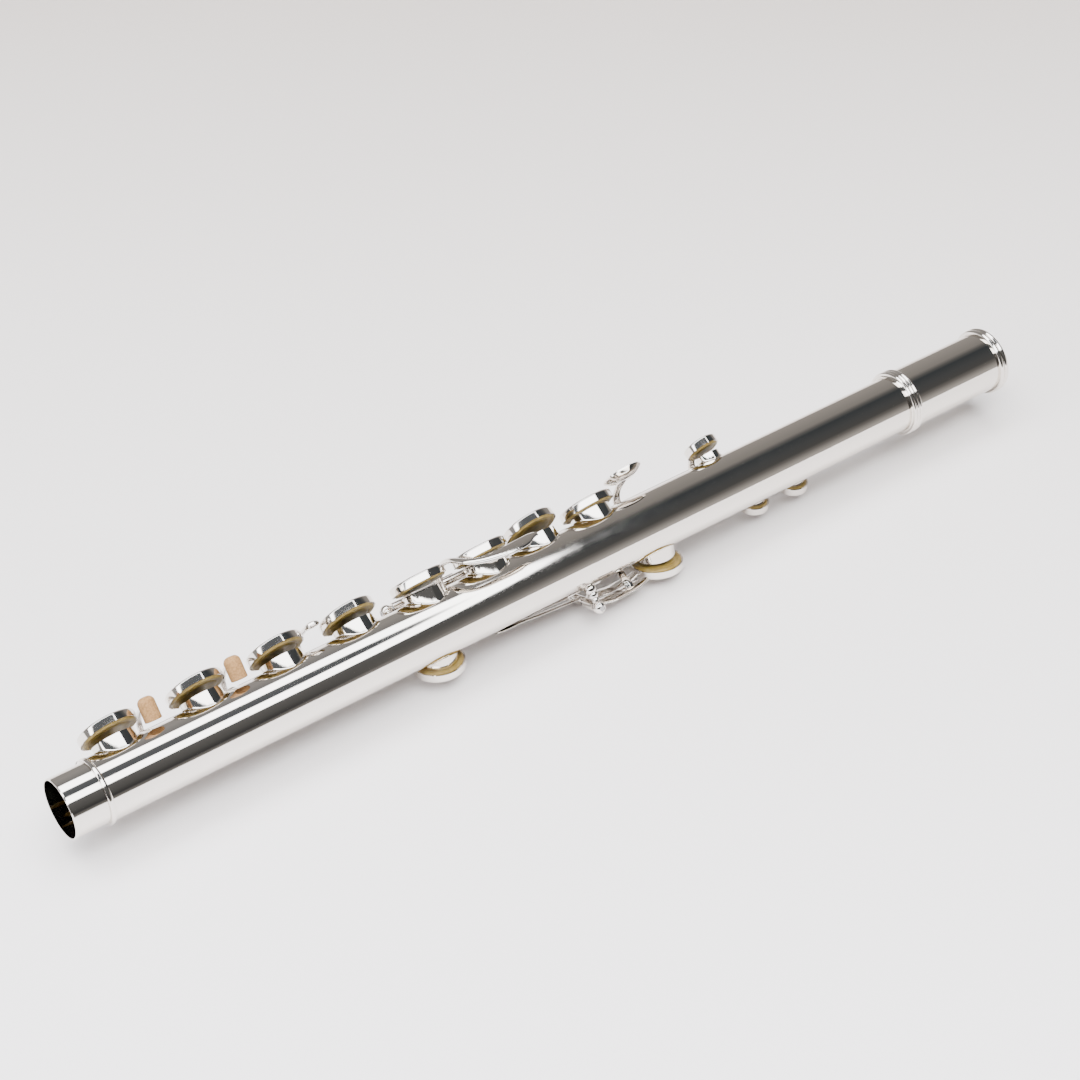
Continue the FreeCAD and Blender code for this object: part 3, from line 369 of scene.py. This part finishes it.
def pad_ripple(axis, radius):
    """Fine gathers of the skin at the edge and soft unevenness of the face, always inwards."""
    def shift(point, out, at, height):
        edge = max(0.0, (at - radius * 0.86) / (radius * 0.14))
        gather = 0.5 + 0.5 * noise.noise(point * 1500.0)
        soft = 0.5 + 0.5 * noise.noise(point * 420.0)
        return out * (0.00007 * gather * edge) - axis * (0.00005 * soft * (1.0 - edge) * (height < 0.0005))
    return shift


for name, node in nodes.items():
    if not name.endswith("_pad"):
        continue
    front, axis, radius, thick = disc_frame(node)
    outline = pad_outline(radius, thick, SEATS.get(name, MAIN_SEAT))
    piece = lathe("skin_" + name, outline, front, axis, PAD, pad_ripple(axis, radius))
    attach(piece, node["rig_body"])
    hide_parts(name)


def cork_ripple(point, out, at, height):
    """Open pores and soft wear on a cut cork."""
    grain = noise.noise(point * 1300.0)
    pore = max(0.0, noise.noise(point * 2600.0 + Vector((3.1, 0.7, 5.3))) - 0.15)
    return out * (0.00003 * grain + 0.00014 * pore + 0.00003)


def cork_outline(length, radius=0.0027, dome=0.0019, bevel=0.0003):
    """Straight cork with a bevelled foot and a rounded top."""
    points = [(0, 0), (radius * 0.5, 0), (radius - bevel, 0), (radius - 0.00008, 0.00008), (radius, bevel)]
    points += [(radius, bevel + (length - dome - bevel) * step / 12) for step in range(1, 13)]
    for turn in range(9, 90, 9):
        angle = math.radians(turn)
        points.append((radius - dome + dome * math.cos(angle), length - dome + dome * math.sin(angle)))
    return points + [(radius - dome, length), (0, length)]


# Both corks stand at this angle from straight up; their arms enter them from the side.
CORK_LEAN = math.radians(41.0)
cork_axis = Vector((0.0, math.sin(CORK_LEAN), math.cos(CORK_LEAN)))
cork_side = Vector((0.0, math.cos(CORK_LEAN), -math.sin(CORK_LEAN)))
for name, node in nodes.items():
    if not name.endswith("_cork"):
        continue
    points = [vertex.co for vertex in node.data.vertices]
    spread = [[point.x, point.dot(cork_side), point.dot(cork_axis)] for point in points]
    least, most = np.min(spread, axis=0), np.max(spread, axis=0)
    centre = (least + most) / 2
    foot = Vector((centre[0], 0.0, 0.0)) + cork_side * centre[1] + cork_axis * least[2]
    outline = cork_outline(float(most[2] - least[2]))
    piece = lathe("button_" + name, outline, foot, cork_axis, CORK, cork_ripple, 80)
    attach(piece, node["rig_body"])
    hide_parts(name)

# ------------------------------------------------------------------ floor

low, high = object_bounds()
bpy.ops.mesh.primitive_plane_add(size=6.0, location=(-0.18, 0.0, low[2] - 0.0001))
floor = bpy.context.active_object
floor.name = "floor"
material, tree = new_material("pale_table_painted_falloff")
output = add(tree, "ShaderNodeOutputMaterial")
shader = add(tree, "ShaderNodeBsdfPrincipled", in_Roughness=0.55)
place = add(tree, "ShaderNodeTexCoord")
cloud = add(tree, "ShaderNodeTexNoise", in_Scale=3.0, in_Detail=3.0)
link(tree, place.outputs["Object"], cloud.inputs["Vector"])
# Painted shade: the table's colour darkens away from the camera, standing for light falling off across it;
# cloud noise adds random patches.
AWAY = (0.6, 0.8, 0.0)
depth = add(tree, "ShaderNodeVectorMath", operation="DOT_PRODUCT")
depth.inputs[1].default_value = AWAY
link(tree, place.outputs["Object"], depth.inputs[0])
painted_falloff = add(tree, "ShaderNodeMapRange", in_From_Min=-0.20, in_From_Max=0.50)
link(tree, depth.outputs["Value"], painted_falloff.inputs["Value"])
patches_and_painted_falloff = add(tree, "ShaderNodeMath", operation="MULTIPLY_ADD")
patches_and_painted_falloff.inputs[1].default_value = 0.10
link(tree, cloud.outputs["Fac"], patches_and_painted_falloff.inputs[0])
link(tree, painted_falloff.outputs["Result"], patches_and_painted_falloff.inputs[2])
tone = ramp(tree, patches_and_painted_falloff.outputs["Value"], [
    (0.05, (0.86, 0.835, 0.845)), (0.40, (0.72, 0.69, 0.68)), (1.0, (0.45, 0.405, 0.375))])
link(tree, tone.outputs["Color"], shader.inputs["Base Color"])
link(tree, shader.outputs["BSDF"], output.inputs["Surface"])
floor.data.materials.append(material)
floor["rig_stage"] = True

# ------------------------------------------------------------------ studio round the flute

# The room is drawn by direction. A polished tube lying along X mirrors each direction at one height
# across its width: `across` runs from -0.4 at the near horizon, through 0 at 47 degrees, to 0.9 at the
# far one.
VIEW_HEIGHT = math.radians(46.85)

world = bpy.data.worlds.new("studio")
scene.world = world
world.use_nodes = True
tree = world.node_tree
tree.nodes.clear()


def maths(operation, first, second=None):
    node = add(tree, "ShaderNodeMath", operation=operation)
    for socket, value in zip(node.inputs, (first, second)):
        if value is None:
            continue
        if isinstance(value, (int, float)):
            socket.default_value = value
        else:
            link(tree, value, socket)
    return node.outputs["Value"]


def soft_step(value, start, end):
    node = add(tree, "ShaderNodeMapRange", interpolation_type="SMOOTHSTEP",
               in_From_Min=start, in_From_Max=end)
    link(tree, value, node.inputs["Value"])
    return node.outputs["Result"]


def oval(across, along, middle, half, start, reach):
    """Distance from the middle of a long light whose end is rounded: 1 on its outline."""
    side = maths("DIVIDE", maths("SUBTRACT", across, middle), half)
    past = maths("DIVIDE", maths("MAXIMUM", maths("SUBTRACT", along, start), 0.0), reach)
    return maths("SQRT", maths("ADD", maths("MULTIPLY", side, side), maths("MULTIPLY", past, past)))


def sky(across, tones):
    """Colour by height, from (height, brightness, tint) rows; tint is above 0 for warm."""
    stops = []
    for height, bright, tint in tones:
        stops.append(((height + 0.5) / 1.5, (bright * (1 + tint), bright, bright * (1 - tint))))
    return ramp(tree, maths("DIVIDE", maths("ADD", across, 0.5), 1.5), stops).outputs["Color"]


# A wide lamp with a dark slot along its middle. It mirrors as two bright strips on the foot half.
LAMP_MIDDLE = 0.33
SLOT = {"half": 0.10, "start": 0.34, "reach": 0.085}
LAMP = {"half": 0.285, "start": 0.37, "reach": 0.095}
LAMP_COLOUR = (8.0, 8.2, 8.5, 1.0)

output = add(tree, "ShaderNodeOutputWorld")
background = add(tree, "ShaderNodeBackground")
place = add(tree, "ShaderNodeTexCoord")
parts = add(tree, "ShaderNodeSeparateXYZ")
link(tree, place.outputs["Generated"], parts.inputs["Vector"])
turn = maths("ARCTAN2", parts.outputs["Z"], maths("MULTIPLY", parts.outputs["Y"], -1.0))
across = maths("SINE", maths("DIVIDE", maths("SUBTRACT", turn, VIEW_HEIGHT), 2.0))
along = parts.outputs["X"]

foot_side = sky(across, [
    (-0.46, 0.72, 0.02), (-0.39, 0.24, 0.03), (-0.30, 0.055, 0.0), (-0.18, 0.105, 0.0),
    (-0.02, 0.14, 0.0), (0.33, 0.14, -0.10), (0.60, 0.24, 0.0), (0.80, 0.38, 0.03), (1.00, 0.34, 0.05)])
barrel_side = sky(across, [
    (-0.46, 0.72, 0.04), (-0.38, 0.55, 0.05), (-0.28, 0.34, 0.05), (-0.18, 0.17, 0.04), (-0.08, 0.088, 0.0),
    (0.12, 0.080, -0.06), (0.36, 0.060, -0.12), (0.46, 0.13, 0.0), (0.56, 0.27, 0.05), (1.00, 0.40, 0.07)])
blend = add(tree, "ShaderNodeMix", data_type="RGBA")
link(tree, soft_step(along, 0.34, 0.50), blend.inputs["Factor"])
link(tree, foot_side, blend.inputs["A"])
link(tree, barrel_side, blend.inputs["B"])

off_slot = soft_step(oval(across, along, LAMP_MIDDLE, **SLOT), 0.80, 1.12)
on_lamp = maths("SUBTRACT", 1.0, soft_step(oval(across, along, LAMP_MIDDLE, **LAMP), 0.95, 1.05))
lamp = maths("MULTIPLY", off_slot, on_lamp)
glow = add(tree, "ShaderNodeMix", data_type="RGBA")
link(tree, lamp, glow.inputs["Factor"])
link(tree, blend.outputs["Result"], glow.inputs["A"])
glow.inputs["B"].default_value = LAMP_COLOUR
link(tree, glow.outputs["Result"], background.inputs["Color"])
link(tree, background.outputs["Background"], output.inputs["Surface"])


def area_light(name, position, target, width, height, power, colour=(1.0, 1.0, 1.0)):
    """A soft light for the floor, pads and corks that the polished metal doesn't mirror."""
    light = bpy.data.lights.new(name, "AREA")
    light.shape = "RECTANGLE"
    light.size = width
    light.size_y = height
    light.energy = power
    light.color = colour
    item = bpy.data.objects.new(name, light)
    scene.collection.objects.link(item)
    item.location = position
    aim = Vector(target) - Vector(position)
    item.rotation_euler = aim.to_track_quat("-Z", "Y").to_euler()
    item.visible_glossy = False


FLUTE_MIDDLE = (-0.184, 0.0, 0.0)
area_light("ceiling", (-0.35, -0.25, 1.5), FLUTE_MIDDLE, 1.6, 1.4, 62.0, (1.0, 0.985, 0.975))

CAMERA_SPOT = (-0.5525, -0.4740, 0.5057)
CAMERA_AIM = (0.462, 0.616, -0.638)
camera_data = bpy.data.cameras.new("camera")
camera_data.sensor_width = 36.0
camera_data.lens = 81.9
camera = bpy.data.objects.new("camera", camera_data)
scene.collection.objects.link(camera)
camera.location = CAMERA_SPOT
camera.rotation_euler = Vector(CAMERA_AIM).normalized().to_track_quat("-Z", "Y").to_euler()
camera_data.clip_start = 0.01
camera_data.clip_end = 20.0
scene.camera = camera

low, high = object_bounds()
